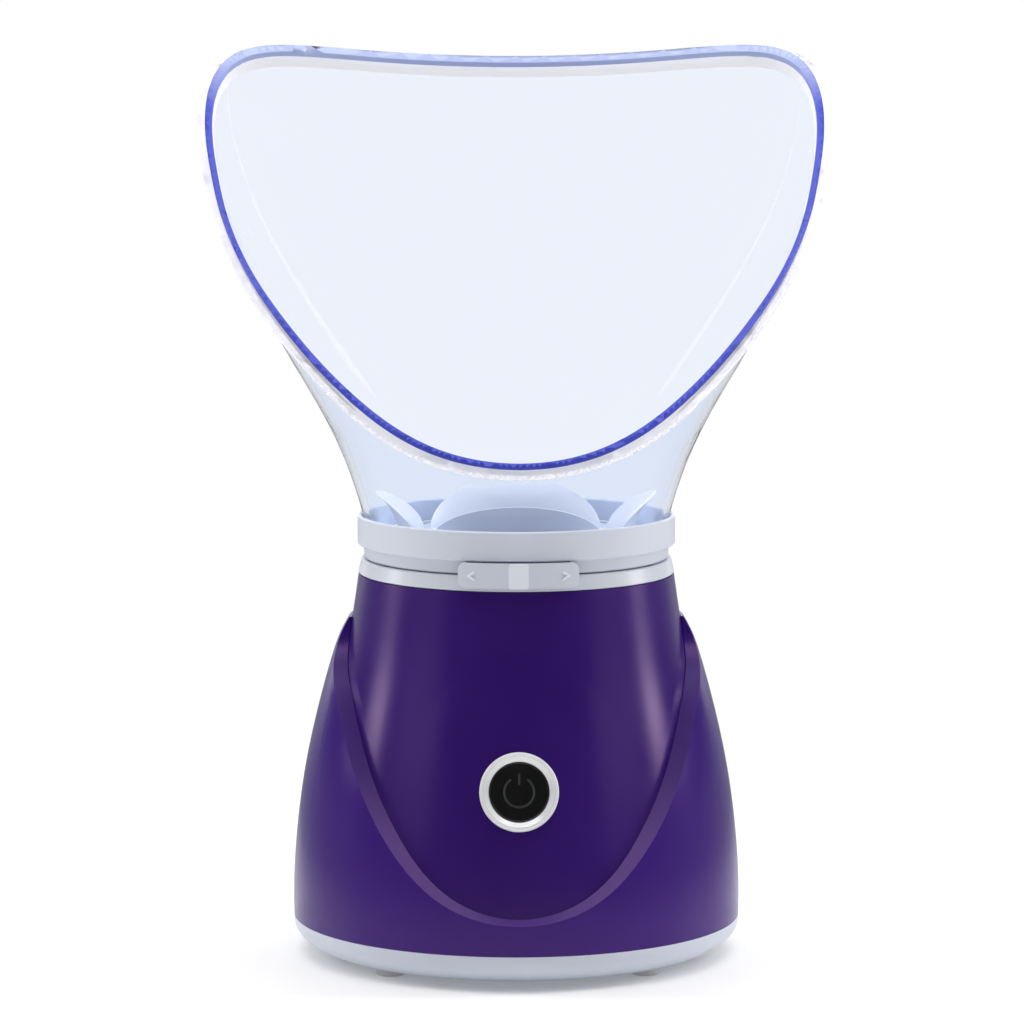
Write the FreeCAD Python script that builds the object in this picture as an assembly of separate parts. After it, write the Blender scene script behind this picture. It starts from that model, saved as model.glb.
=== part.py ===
# Facial steamer: a tub-shaped housing with a heated water tank, a lift-off adapter with a
# steam cap and a sliding steam lever, and a clear face mask that stands in the adapter.
# Millimetres. +Z is up, the front is -Y, and the origin is on the floor under the axis.
import os
from math import asin, atan2, cos, degrees, hypot, pi, radians, sin, sqrt

import FreeCAD, Part

V = FreeCAD.Vector
AXIS = V(0, 0, 1)

# ---- driving dimensions -------------------------------------------------------------------

# clearances
fit = 0.15            # between shells that are pressed together
running = 0.3         # between pieces that move apart or past each other

# feet and base
foot_height = 1.5
foot_r = 4.6
foot_recess = 1.0
foot_x = 38.0
foot_y = 40.0
base_r = 68.1
base_edge_width = 13.0   # the rounded lower edge is a quarter ellipse
base_top = 11.0
base_floor = 2.2
lip_height = 3.0
lip_wall = 2.0
lip_gap = 0.2
base_rim_height = 1.0    # upright part of the dish's side, above its rounded edge

# housing: radius at each height
housing_top = 116.0
housing_top_r = 48.0
housing_profile = [(base_top, 65.2), (28.5, 64.2), (48.5, 61.0), (68.5, 56.9),
                   (88.5, 52.5), (102.5, 50.0), (housing_top, housing_top_r)]
housing_wall = 2.4
panel_shift = 4.0     # how far the front panel's own axis stands in front of the main one
panel_crease = [(base_top, 37.5), (28.5, 37.2), (48.5, 36.5), (66.5, 35.0),
                (80.5, 30.0), (92.0, 19.0), (98.5, 1.0)]
panel_top = 104.5     # the front panel's surface dips under the housing's above its crease
panel_top_dip = 0.35

# outer shell that wraps the housing and leaves a U-shaped front open
shell_profile = [(base_top, base_r), (23.5, base_r), (38.5, 67.0), (56.5, 64.5),
                 (74.5, 60.6), (90.5, 56.2), (98.0, 53.5), (103.5, 50.5), (108.5, 47.6)]
shell_top = 102.7
u_outer = [(0.0, 20.1), (18.4, 25.2), (35.7, 41.9), (51.0, 62.3),
           (68.7, 81.8), (81.6, 92.1), (87.0, 103.5), (88.0, 113.5)]
u_inner = [(0.0, 22.6), (16.9, 27.4), (34.0, 43.1), (50.0, 62.9),
           (68.0, 82.4), (81.0, 92.7), (86.5, 103.8), (87.6, 113.5)]
u_overrun = 0.9       # the cut goes past both surfaces by this share of its width

# fasteners
screw_r = 1.5
screw_head_r = 3.0
screw_head_height = 2.2
slot_width = 0.8
slot_depth = 0.8
base_screw_x = 50.0
base_screw_y = 20.0
base_screw_length = 20.0
base_screw_recess = 1.8
screw_end_gap = 2.0
boss_r = 4.6
base_boss_top = 30.5
boss_rib_width = 3.0
boss_rib_length = 20.0
neck_screw_reach = 43.6
neck_screw_r = 1.1
neck_head_r = 2.1
neck_head_height = 1.8
neck_screw_length = 17.0
neck_screw_count = 3
neck_boss_r = 2.6
neck_boss_height = 12.0
neck_post_r = 2.0
neck_hole_depth = 10.0

# water tank and its seat in the housing
tank_r = 37.5
tank_wall = 1.2
tank_depth = 31.0
tank_corner_r = 10.0
tank_flange_width = 3.9
tank_flange_height = 1.5
seat_height = 2.5
seat_drop = 5.0        # the seat's face lies this far below the housing's top
seat_gap = 0.6
gasket_height = 1.0

# neck ring, fixed on the housing
neck_gap = 0.2
neck_height = 4.5
neck_top_r = 47.2
neck_bore_r = 40.4
neck_lip_width = 2.6
neck_lip_height = 2.5
seal_height = 1.0

# adapter: stepped neck, wide collar and spigot
adapter_floor = 0.7
spigot_wall = 1.8
adapter_neck_r = 46.3
socket_depth = 6.5
collar_r = 48.3
collar_wall = 1.2
mask_ledge_rise = 0.5
chamber_r = 43.6
deck_gap = 0.4

# steam cap
deck_height = 1.5
outlet_r = 10.0
outlet_rim_height = 2.5
outlet_rim_wall = 1.2
window_in_r = 13.0
window_out_r = 19.0
window_count = 8
window_angle = 22.0
deck_ribs = [21.5, 25.0, 28.5]
rib_height = 0.7
rib_width = 1.0
petal_base_r = 35.5
petal_mid_r = 37.6
petal_tip_r = 43.6
petal_height = 14.6
petal_wall = 1.0
petal_cut_from = 20.0
petal_cut_to = 60.0
front_petal_half = 26.5
side_petal_half = 20.0

# steam adjuster
lever_swing = 12.0
adjuster_height = 3.1
adjuster_in_r = 39.4
adjuster_shelf = 1.1
shutter_height = 1.6
shutter_r = 40.8
lever_stem_half = 5.0
lever_stem_height = 2.4
lever_stem_depth = 1.8
lever_stem_gap = 0.05
lever_height = 7.4
lever_width = 35.8
lever_plate_gap = 1.2
lever_thickness = 1.6
lever_cut_reach = 60.0
lever_cut_depth = 20.0
lever_corner_r = 2.2
grip_width = 6.0
grip_corner_r = 0.8
grip_proud = 0.9
mark_width = 0.7
mark_size = 2.6
mark_reach = 13.6
mark_proud = 0.3

# power button, on an axis square to the front panel
button_z = 58.6
bezel_width = 2.75
bezel_hole_gap = 0.1
bezel_proud = 1.5
bezel_depth = 4.2
bezel_bore_gap = 0.25
cap_r = 8.7
cap_proud = 0.3
cap_dish = 0.5
cap_flange_width = 2.1
cap_flange_height = 1.2
cap_stem_r = 1.5
cap_stem_length = 1.5
symbol_r = 4.4
symbol_width = 0.7
symbol_depth = 0.3
symbol_gap_angle = 32.0
button_travel = 0.8
holder_wall = 2.0
holder_gap = 0.25
holder_depth = 15.0
holder_floor = 1.6
wire_slot_y = -6.0
wire_slot_size = (10.0, 5.0)
switch_board_height = 1.2
switch_size = 6.0
plunger_r = 1.75
plunger_height = 0.6
plunger_gap = 0.2

# heater under the tank
plate_r = 27.0
plate_height = 3.0
element_r = 3.0
element_leg = 14.0
element_bend_y = -4.0
element_leg_end = 24.0
pin_r = 1.2
pin_length = 3.0
clamp_y = 12.0
clamp_width = 9.0
clamp_height = 1.5
clamp_screw_x = 21.0
clamp_screw_end = 1.0
clamp_end = 4.0
thermostat_r = 7.5
thermostat_y = -5.0
thermostat_height = 8.0
tab_size = (0.8, 4.0)
tab_height = 5.0
tab_x = 3.5
fuse_r = 2.3
fuse_length = 12.0
fuse_y = 21.0

# circuit board and what is on it
board_width = 76.0
board_length = 56.0
board_y = 14.0
board_bottom = 19.5
board_height = 1.6
post_r = 3.5
post_inset = 4.0
board_screw_length = 10.0
transformer_size = (24.0, 20.0, 17.0)
transformer_at = (-20.0, 4.0)
relay_size = (16.0, 12.0, 14.0)
relay_at = (16.0, 6.0)
capacitor_r = 6.0
capacitor_height = 15.0
capacitor_at = (2.0, 20.0)
terminal_size = (36.0, 9.0, 10.0)
terminal_depth = 4.0

# wires inside the housing
lead_r = 1.2
lead_bend = 10.0
lead_straight = 1.0
ribbon_r = 0.7
ribbon_pitch = 3.0
ribbon_out = 8.0
ribbon_first_bend = 5.0
ribbon_bend = 12.0
ribbon_end_bend = 6.0
ribbon_end_straight = 1.0
ribbon_end_y = -9.0

# cord inlet at the back
gland_z = 22.5
gland_bore_r = 3.3
gland_half = 5.2       # the gland is square outside and round inside
gland_corner_r = 1.5
gland_flange_half = 7.0
gland_flange_height = 1.8
gland_hole_gap = 0.1
gland_hole_overrun = 10.0
gland_inner_length = 4.0
gland_inner_reach = 1.2
gland_inner_gap = 1.0

# face mask above its round foot: outer half width, front reach, back reach, squareness of the
# back, hollow of the back, at each height over the ledge that the mask stands on
mask_foot_height = 1.0
mask_foot_depth = 5.0
mask_foot_lean = 0.2    # how far the foot's front stands forward at the collar's mouth
mask_levels = [(11.0, 47.9, 50.0, 47.3, 2.0, 0.0),
               (17.0, 49.8, 54.6, 47.9, 2.0, 0.0),
               (27.6, 53.9, 64.0, 48.7, 2.1, 0.0),
               (41.0, 60.7, 71.5, 49.4, 2.4, 0.1),
               (53.0, 67.8, 73.0, 50.0, 2.8, 0.4),
               (65.0, 74.5, 71.0, 50.6, 3.3, 0.9),
               (77.0, 80.7, 67.0, 51.1, 3.9, 1.6),
               (91.0, 87.2, 63.0, 51.7, 4.6, 2.8),
               (105.0, 92.0, 60.0, 52.2, 5.4, 4.2),
               (122.0, 95.7, 58.0, 52.6, 6.5, 6.0),
               (137.0, 96.4, 57.0, 52.8, 7.2, 7.4),
               (155.0, 96.4, 57.0, 53.0, 7.2, 7.8)]
mask_angles = [0, 22, 44, 64, 80, 92, 101, 107, 111, 115, 119, 123, 128, 136, 148, 163]
mask_wall = 2.0
mask_skirt_gap = 0.3
rim_chin_y = -62.0
rim_chin_height = 27.6
rim_tilt = 45.0
rim_lip = 1.0
flange_reach = 2.6    # at the sides and the chin
flange_back_reach = 1.2
flange_height = 2.2

# ---- sizes worked out from those ------------------------------------------------------------

opening_r = housing_top_r - housing_wall
lip_r = housing_profile[0][1] - housing_wall - lip_gap
seat_top = housing_top - seat_drop
flange_bottom = seat_top + gasket_height
flange_top = flange_bottom + tank_flange_height
tank_flange_r = tank_r + tank_flange_width
tank_bottom = flange_top - tank_depth
neck_bottom = housing_top + neck_gap
neck_top = neck_bottom + neck_height
neck_lip_r = neck_bore_r - neck_lip_width
neck_lip_top = flange_top + neck_lip_height
spigot_r = neck_bore_r - running
spigot_in_r = spigot_r - spigot_wall
spigot_bottom = neck_lip_top + seal_height + running
adapter_bottom = neck_top + running
adjuster_bottom = adapter_bottom + adapter_floor + running
adjuster_top = adjuster_bottom + adjuster_height
lever_top = adjuster_top - running
collar_bottom = adjuster_top
deck_ledge = adjuster_top + deck_gap
deck_r = chamber_r + 1.0
deck_top = deck_ledge + deck_height
mask_ledge = deck_top + mask_ledge_rise
collar_top = mask_ledge + socket_depth
mask_r = collar_r - collar_wall - running
mask_bottom = mask_ledge + mask_skirt_gap
rim_chin_z = mask_ledge + rim_chin_height
bezel_bore_r = cap_r + bezel_bore_gap
bezel_r = bezel_bore_r + bezel_width
cap_flange_r = cap_r + cap_flange_width
board_top = board_bottom + board_height
lead_x = element_leg
lead_y = element_leg_end + pin_length + lead_straight + lead_bend
element_z = tank_bottom - plate_height - element_r


# ---- helpers --------------------------------------------------------------------------------

def ring(inner, outer, low, high):
    tube = Part.makeCylinder(outer, high - low, V(0, 0, low))
    return tube.cut(Part.makeCylinder(inner, high - low, V(0, 0, low)))


def rod(radius, low, high, x=0.0, y=0.0):
    return Part.makeCylinder(radius, high - low, V(x, y, low))


def block(x_size, y_size, low, high, x=0.0, y=0.0):
    corner = V(x - x_size / 2, y - y_size / 2, low)
    return Part.makeBox(x_size, y_size, high - low, corner)


def turned(points):
    """Solid of revolution about Z from a closed outline of (radius, height) points."""
    corners = [V(r, 0, z) for r, z in points]
    outline = Part.makePolygon(corners + corners[:1])
    return Part.Face(outline).revolve(V(0, 0, 0), AXIS, 360)


def profile_curve(profile):
    curve = Part.BSplineCurve()
    curve.interpolate([V(r, 0, z) for z, r in profile])
    return curve


def radius_at(profile, z):
    """Radius of a profile's smooth curve at a height."""
    curve = profile_curve(profile)
    low, high = curve.FirstParameter, curve.LastParameter
    for _ in range(50):
        middle = (low + high) / 2
        if curve.value(middle).z < z:
            low = middle
        else:
            high = middle
    return curve.value(low).x


def revolved(profile, inset=0.0):
    """Solid inside a smooth profile of (height, radius) points."""
    inner = [(z, r - inset) for z, r in profile]
    edge = profile_curve(inner).toShape()
    low_z, high_z = inner[0][0], inner[-1][0]
    top = Part.makeLine(V(inner[-1][1], 0, high_z), V(0, 0, high_z))
    side = Part.makeLine(V(0, 0, high_z), V(0, 0, low_z))
    bottom = Part.makeLine(V(0, 0, low_z), V(inner[0][1], 0, low_z))
    outline = Part.Wire([edge, top, side, bottom])
    return Part.Face(outline).revolve(V(0, 0, 0), AXIS, 360)


def around(reach, count, first=0.0):
    """Points evenly spaced on a circle, the first at an angle from +X."""
    step = 360.0 / count
    angles = [radians(first + step * i) for i in range(count)]
    return [(reach * cos(a), reach * sin(a)) for a in angles]


def fused(shapes):
    solid = shapes[0]
    for shape in shapes[1:]:
        solid = solid.fuse(shape)
    return solid.removeSplitter()


def screw(x, y, tip, length, radius, head_r, head_height, up):
    """Slotted screw on a vertical line, with its head above (up) or below its shank."""
    if up:
        shank = rod(radius, tip, tip + length, x, y)
        head_low = tip + length
        slot_low = head_low + head_height - slot_depth
    else:
        shank = rod(radius, tip - length, tip, x, y)
        head_low = tip - length - head_height
        slot_low = head_low
    head = rod(head_r, head_low, head_low + head_height, x, y)
    slot = block(2 * head_r, slot_width, slot_low, slot_low + slot_depth, x, y)
    return shank.fuse(head).cut(slot)


def wire(points, bends, radius):
    """Round wire along straight runs, with a tangent arc of its own radius at each corner."""
    edges = []
    start = points[0]
    for corner, after, bend in zip(points[1:-1], points[2:], bends):
        back = (start - corner).normalize()
        ahead = (after - corner).normalize()
        half = back.getAngle(ahead) / 2
        trim = bend / (sin(half) / cos(half))
        enter = corner + back * trim
        leave = corner + ahead * trim
        bisector = (back + ahead).normalize()
        middle = corner + bisector * (bend / sin(half) - bend)
        if (enter - start).Length > 1e-6:
            edges.append(Part.LineSegment(start, enter).toShape())
        edges.append(Part.Arc(enter, middle, leave).toShape())
        start = leave
    edges.append(Part.LineSegment(start, points[-1]).toShape())
    path = Part.Wire(edges)
    heading = edges[0].tangentAt(edges[0].FirstParameter)
    section = Part.Wire(Part.makeCircle(radius, points[0], heading))
    return path.makePipeShell([section], True, False)


def save(name, shape):
    shape.exportStep(os.path.join("parts", name + ".step"))


# ---- power button axis ----------------------------------------------------------------------

def panel_profile():
    """Radius of the front panel about its own axis, so that it meets the housing at the crease."""
    points = []
    for z, angle in panel_crease:
        r = radius_at(housing_profile, z)
        forward = r * cos(radians(angle)) - panel_shift
        points.append((z, hypot(forward, r * sin(radians(angle)))))
    top_r = radius_at(housing_profile, panel_top) - panel_shift - panel_top_dip
    return points + [(panel_top, top_r)]


def button_frame():
    """Place and lean of the button: its own +Z points straight out of the panel."""
    profile = panel_profile()
    step = 5.0
    above = radius_at(profile, button_z + step)
    below = radius_at(profile, button_z - step)
    lean = atan2(below - above, 2 * step)
    outward = V(0, -cos(lean), sin(lean))
    upward = V(0, sin(lean), cos(lean))
    seat = V(0, -radius_at(profile, button_z) - panel_shift, button_z)
    return FreeCAD.Placement(seat, FreeCAD.Rotation(V(1, 0, 0), upward, outward, "ZXY"))


button_place = button_frame()


def on_button(shape):
    moved = shape.copy()
    moved.Placement = button_place.multiply(shape.Placement)
    return moved


# ---- base ------------------------------------------------------------------------------------

def base_screw_spots():
    return [(x, y) for x in (-base_screw_x, base_screw_x) for y in (-base_screw_y, base_screw_y)]


def foot_spots():
    return [(x, y) for x in (-foot_x, foot_x) for y in (-foot_y, foot_y)]


def board_posts():
    x = board_width / 2 - post_inset
    y = board_length / 2 - post_inset
    return [(sx * x, board_y + sy * y) for sx in (-1, 1) for sy in (-1, 1)]


def bowl(radius, bottom, edge_width):
    """Solid disc up to the base's top whose lower edge is a quarter ellipse."""
    steps = 12
    shoulder = base_top - base_rim_height
    edge_height = shoulder - bottom
    flat_r = radius - edge_width
    edge = []
    for step in range(steps + 1):
        angle = pi / 2 * step / steps
        edge.append((shoulder - edge_height * cos(angle), flat_r + edge_width * sin(angle)))
    curve = profile_curve(edge).toShape()
    corners = [V(radius, 0, base_top), V(0, 0, base_top), V(0, 0, bottom), V(flat_r, 0, bottom)]
    side = Part.makePolygon([V(radius, 0, shoulder)] + corners)
    return Part.Face(Part.Wire([curve] + side.Edges)).revolve(V(0, 0, 0), AXIS, 360)


def base_cover():
    floor_top = foot_height + base_floor
    hollow_r = lip_r - lip_wall
    dish = bowl(base_r, foot_height, base_edge_width)
    dish = dish.cut(bowl(hollow_r, floor_top, base_edge_width - base_floor))
    dish = dish.fuse(ring(hollow_r, lip_r, base_top, base_top + lip_height))
    lip_top = base_top + lip_height
    for x, y in base_screw_spots():
        dish = dish.fuse(rod(boss_r, floor_top, lip_top, x, y))
        head_room = foot_height + base_screw_recess + screw_head_height
        dish = dish.cut(rod(screw_head_r + 0.4, foot_height, head_room, x, y))
        dish = dish.cut(rod(screw_r + 0.2, head_room, lip_top, x, y))
    for x, y in board_posts():
        dish = dish.fuse(rod(post_r, floor_top, board_bottom, x, y))
        dish = dish.cut(rod(screw_r, board_top - board_screw_length, board_bottom, x, y))
    for x, y in foot_spots():
        dish = dish.cut(rod(foot_r + 0.05, foot_height, foot_height + foot_recess, x, y))
    return dish.removeSplitter()


def rubber_feet():
    feet = []
    for x, y in foot_spots():
        foot = rod(foot_r, 0, foot_height + foot_recess, x, y)
        sole = [e for e in foot.Edges if e.BoundBox.ZMax < 0.01][0]
        feet.append(foot.makeFillet(0.8, [sole]))
    return Part.makeCompound(feet)


def base_screws():
    head_room = foot_height + base_screw_recess + screw_head_height
    screws = [screw(x, y, head_room + base_screw_length, base_screw_length, screw_r,
                    screw_head_r, screw_head_height, False)
              for x, y in base_screw_spots()]
    return Part.makeCompound(screws)


# ---- housing ---------------------------------------------------------------------------------

def panel_bulge(inset):
    """Solid of the front panel: turned about an axis in front of the housing's."""
    bulge = revolved(panel_profile(), inset)
    bulge.translate(V(0, -panel_shift, 0))
    return bulge


def neck_screw_spots():
    return around(neck_screw_reach, neck_screw_count, 90.0)


def housing_outside(inset=0.0):
    return revolved(housing_profile, inset).fuse(panel_bulge(inset))


def housing_bosses():
    """Columns for the base screws, tied to the wall by a rib each."""
    low = base_top + lip_height
    bosses = []
    for x, y in base_screw_spots():
        angle = degrees(atan2(y, x))
        corner = V(hypot(x, y), -boss_rib_width / 2, low)
        rib = Part.makeBox(boss_rib_length, boss_rib_width, base_boss_top - low, corner)
        rib.rotate(V(0, 0, 0), AXIS, angle)
        bosses.append(rod(boss_r, low, base_boss_top, x, y).fuse(rib))
    return bosses


def housing():
    inside_wall = revolved(housing_profile, housing_wall / 2)
    shell = housing_outside().cut(revolved(housing_profile, housing_wall))
    for boss in housing_bosses():
        shell = shell.fuse(boss.common(inside_wall))
    for x, y in base_screw_spots():
        shell = shell.cut(rod(screw_r, base_top, base_boss_top - screw_end_gap, x, y))
    button_hole = rod(bezel_r + bezel_hole_gap, -holder_depth, holder_depth)
    shell = shell.cut(on_button(button_hole))
    shell = shell.cut(gland_hole())
    return shell.removeSplitter()


def tank_seat():
    """Ring pressed into the housing that holds the tank, with a boss and post for each neck screw."""
    wall_r = radius_at(housing_profile, seat_top)
    pieces = [ring(tank_r + seat_gap, wall_r, seat_top - seat_height, seat_top)]
    for x, y in neck_screw_spots():
        pieces.append(rod(neck_boss_r, seat_top - neck_boss_height, seat_top, x, y))
        pieces.append(rod(neck_post_r, seat_top, flange_top, x, y))
    seat = fused(pieces).common(revolved(housing_profile, housing_wall))
    for x, y in neck_screw_spots():
        seat = seat.cut(rod(neck_screw_r, seat_top - neck_hole_depth, flange_top, x, y))
    return seat


# ---- outer shell -----------------------------------------------------------------------------

def on_surface(angle, z, radius):
    return V(radius * sin(radians(angle)), -radius * cos(radians(angle)), z)


def u_cut_face():
    """Ruled face through both edges of the U-shaped band, longer than the shell is thick."""
    near, far = [], []
    for (angle_out, z_out), (angle_in, z_in) in zip(u_outer, u_inner):
        top_z = shell_profile[-1][0]
        outer = on_surface(angle_out, z_out, radius_at(shell_profile, min(z_out, top_z)))
        inner = on_surface(angle_in, z_in, radius_at(housing_profile, z_in))
        width = outer - inner
        if width.Length < 3.0:
            width = on_surface(angle_in, 0.0, 3.0)
        far.append(outer + width * u_overrun)
        near.append(inner - width * u_overrun)
    curves = []
    for side in (near, far):
        left = [V(-p.x, p.y, p.z) for p in reversed(side[1:])]
        curve = Part.BSplineCurve()
        curve.interpolate(left + side)
        curves.append(curve.toShape())
    return Part.makeRuledSurface(curves[0], curves[1])


def outer_shell():
    ring_wall = revolved(shell_profile).cut(housing_outside(-fit)).cut(gland_recess())
    ring_wall = ring_wall.common(rod(base_r + 10.0, base_top, shell_top))
    pieces = ring_wall.generalFuse([u_cut_face()])[0].Solids
    return max(pieces, key=lambda piece: piece.Volume)


# ---- cord inlet ------------------------------------------------------------------------------

def gland_block(half, start, end):
    """Square bar along Y at the inlet, with rounded edges."""
    bar = Part.makeBox(2 * half, end - start, 2 * half, V(-half, start, gland_z - half))
    along = [e for e in bar.Edges if abs(e.tangentAt(e.FirstParameter).y) > 0.99]
    return bar.makeFillet(gland_corner_r, along)


def gland_hole():
    inside = radius_at(housing_profile, gland_z) - 2 * housing_wall
    return gland_block(gland_half + gland_hole_gap, inside, base_r + gland_hole_overrun)


def gland_seat_y():
    return radius_at(shell_profile, gland_z) - gland_flange_height


def gland_recess():
    """Hole through both walls, with a seat in the outer shell for the gland's flange."""
    seat = gland_block(gland_flange_half + fit, gland_seat_y(), base_r + gland_hole_overrun)
    return gland_hole().fuse(seat)


def cord_gland():
    outside_y = radius_at(shell_profile, gland_z)
    wall_y = radius_at(housing_profile, gland_z) - housing_wall
    inner_y = wall_y - gland_inner_length
    body = gland_block(gland_half, inner_y, outside_y)
    flange = gland_block(gland_flange_half, gland_seat_y(), outside_y)
    inner_flange = gland_block(gland_half + gland_inner_reach, inner_y, wall_y - gland_inner_gap)
    start = V(0, inner_y, gland_z)
    bore = Part.makeCylinder(gland_bore_r, outside_y - inner_y, start, V(0, 1, 0))
    return fused([body, flange, inner_flange]).cut(bore)


# ---- tank and heater -------------------------------------------------------------------------

def water_tank():
    pot = rod(tank_r, tank_bottom, flange_top)
    pot_edge = [e for e in pot.Edges if e.BoundBox.ZMax < tank_bottom + 0.01][0]
    pot = pot.makeFillet(tank_corner_r, [pot_edge])
    flange = ring(tank_r - 1.0, tank_flange_r, flange_bottom, flange_top)
    hollow = rod(tank_r - tank_wall, tank_bottom + tank_wall, flange_top)
    hollow_edge = [e for e in hollow.Edges if e.BoundBox.ZMax < tank_bottom + tank_wall + 0.01][0]
    hollow = hollow.makeFillet(tank_corner_r - tank_wall, [hollow_edge])
    return pot.fuse(flange).cut(hollow).removeSplitter()


def tank_gasket():
    return ring(tank_r + 0.8, tank_flange_r - 0.2, seat_top, flange_bottom)


def heater_plate():
    low = tank_bottom - plate_height
    plate = rod(plate_r, low, tank_bottom)
    for x in (-clamp_screw_x, clamp_screw_x):
        plate = plate.cut(rod(screw_r, low, tank_bottom - clamp_screw_end, x, clamp_y))
    return plate


def heater_element():
    """U-shaped tube heater with a connection pin at each end."""
    y_bend, y_end = element_bend_y, element_leg_end
    left = Part.LineSegment(V(-element_leg, y_end, element_z), V(-element_leg, y_bend, element_z))
    bend = Part.Arc(V(-element_leg, y_bend, element_z), V(0, y_bend - element_leg, element_z),
                    V(element_leg, y_bend, element_z))
    right = Part.LineSegment(V(element_leg, y_bend, element_z), V(element_leg, y_end, element_z))
    path = Part.Wire([left.toShape(), bend.toShape(), right.toShape()])
    start = V(-element_leg, y_end, element_z)
    section = Part.Wire(Part.makeCircle(element_r, start, V(0, -1, 0)))
    tube = path.makePipeShell([section], True, False)
    for x in (-element_leg, element_leg):
        pin = Part.makeCylinder(pin_r, pin_length, V(x, y_end, element_z), V(0, 1, 0))
        tube = tube.fuse(pin)
    return tube


def heater_clamp():
    top = element_z - element_r
    bar = block(2 * (clamp_screw_x + clamp_end), clamp_width, top - clamp_height, top, 0, clamp_y)
    for x in (-clamp_screw_x, clamp_screw_x):
        bar = bar.cut(rod(screw_r + 0.1, top - clamp_height, top, x, clamp_y))
    return bar


def clamp_screws():
    head_top = element_z - element_r - clamp_height
    length = tank_bottom - clamp_screw_end - head_top
    screws = [screw(x, clamp_y, head_top + length, length, screw_r, screw_head_r,
                    screw_head_height, False) for x in (-clamp_screw_x, clamp_screw_x)]
    return Part.makeCompound(screws)


def thermostat():
    top = tank_bottom - plate_height
    can = rod(thermostat_r, top - thermostat_height, top, 0, thermostat_y)
    low = top - thermostat_height
    for x in (-tab_x, tab_x):
        tab = block(*tab_size, low - tab_height, low, x, thermostat_y)
        can = can.fuse(tab)
    return can


def thermal_fuse():
    centre_z = tank_bottom - plate_height - fuse_r
    start = V(-fuse_length / 2, fuse_y, centre_z)
    return Part.makeCylinder(fuse_r, fuse_length, start, V(1, 0, 0))


# ---- electronics -----------------------------------------------------------------------------

def circuit_board():
    board = block(board_width, board_length, board_bottom, board_top, 0, board_y)
    corners = [e for e in board.Edges if abs(e.tangentAt(e.FirstParameter).z) > 0.99]
    board = board.makeFillet(3.0, corners)
    for x, y in board_posts():
        board = board.cut(rod(screw_r + 0.1, board_bottom, board_top, x, y))
    return board


def board_screws():
    screws = [screw(x, y, board_top - board_screw_length, board_screw_length, screw_r,
                    screw_head_r, screw_head_height, True) for x, y in board_posts()]
    return Part.makeCompound(screws)


def on_board(size, place):
    """Boxed component on the board, with its upright edges rounded."""
    x_size, y_size, height = size
    body = block(x_size, y_size, board_top, board_top + height, place[0], place[1])
    upright = [e for e in body.Edges if abs(e.tangentAt(e.FirstParameter).z) > 0.99]
    return body.makeFillet(0.8, upright)


def terminal_block():
    body = on_board(terminal_size, (0, lead_y))
    top = board_top + terminal_size[2]
    for x in (-lead_x, lead_x):
        body = body.cut(rod(lead_r, top - terminal_depth, top, x, lead_y))
    return body


def heater_leads():
    bottom = board_top + terminal_size[2] - terminal_depth
    leads = []
    for x in (-lead_x, lead_x):
        route = [V(x, lead_y, bottom), V(x, lead_y, element_z),
                 V(x, lead_y - lead_bend - lead_straight, element_z)]
        leads.append(wire(route, [lead_bend], lead_r))
    return Part.makeCompound(leads)


def switch_leads():
    """Three small wires from the switch board down to the front edge of the circuit board."""
    low_z = board_top + ribbon_end_bend + ribbon_end_straight
    wires = []
    for x in (-ribbon_pitch, 0.0, ribbon_pitch):
        start = button_place.multVec(V(x, wire_slot_y, -holder_depth + holder_floor))
        behind = button_place.multVec(V(x, wire_slot_y, -holder_depth - ribbon_out))
        route = [start, behind, V(x, behind.y, low_z), V(x, ribbon_end_y, low_z),
                 V(x, ribbon_end_y, board_top)]
        wires.append(wire(route, [ribbon_first_bend, ribbon_bend, ribbon_end_bend], ribbon_r))
    return Part.makeCompound(wires)


# ---- power button ----------------------------------------------------------------------------

def button_bezel():
    """Ring with a rounded crown and a conical inner slope, let into the panel."""
    outline = [(bezel_bore_r, -bezel_depth), (bezel_r, -bezel_depth), (bezel_r, bezel_proud - 0.7),
               (bezel_r - 0.25, bezel_proud - 0.2), (bezel_r - 0.8, bezel_proud),
               (bezel_r - 1.3, bezel_proud - 0.15), (bezel_bore_r, cap_proud - 0.1)]
    return on_button(turned(outline))


def button_cap():
    top = cap_proud
    flange_top_z = -bezel_depth - running
    flange_low = flange_top_z - cap_flange_height
    cap = rod(cap_r, flange_low, top)
    crown = [e for e in cap.Edges if e.BoundBox.ZMin > top - 0.01][0]
    cap = cap.makeFillet(0.4, [crown])
    cap = cap.fuse(rod(cap_flange_r, flange_low, flange_top_z))
    cap = cap.fuse(rod(cap_stem_r, flange_low - cap_stem_length, flange_low))
    dish_edge_r = cap_r - 0.9
    ball_r = (dish_edge_r ** 2 + cap_dish ** 2) / (2 * cap_dish)
    cap = cap.cut(Part.makeSphere(ball_r, V(0, 0, top - cap_dish + ball_r)))
    return on_button(cap.cut(power_symbol(ball_r)))


def power_symbol(ball_r):
    """Sunken power sign that follows the dish: an open circle with a bar at its top."""
    circle = ring(symbol_r - symbol_width / 2, symbol_r + symbol_width / 2, -3.0, 3.0)
    reach = 3 * symbol_r
    half = reach * sin(radians(symbol_gap_angle)) / cos(radians(symbol_gap_angle))
    corners = [V(0, 0, -3), V(half, reach, -3), V(-half, reach, -3), V(0, 0, -3)]
    gap = Part.Face(Part.makePolygon(corners)).extrude(V(0, 0, 6.0))
    bar = block(symbol_width, 3.4, -3.0, 3.0, 0, symbol_r - 0.6)
    sign = circle.cut(gap).fuse(bar)
    centre_z = cap_proud - cap_dish + ball_r
    return sign.common(Part.makeSphere(ball_r + symbol_depth, V(0, 0, centre_z)))


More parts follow.
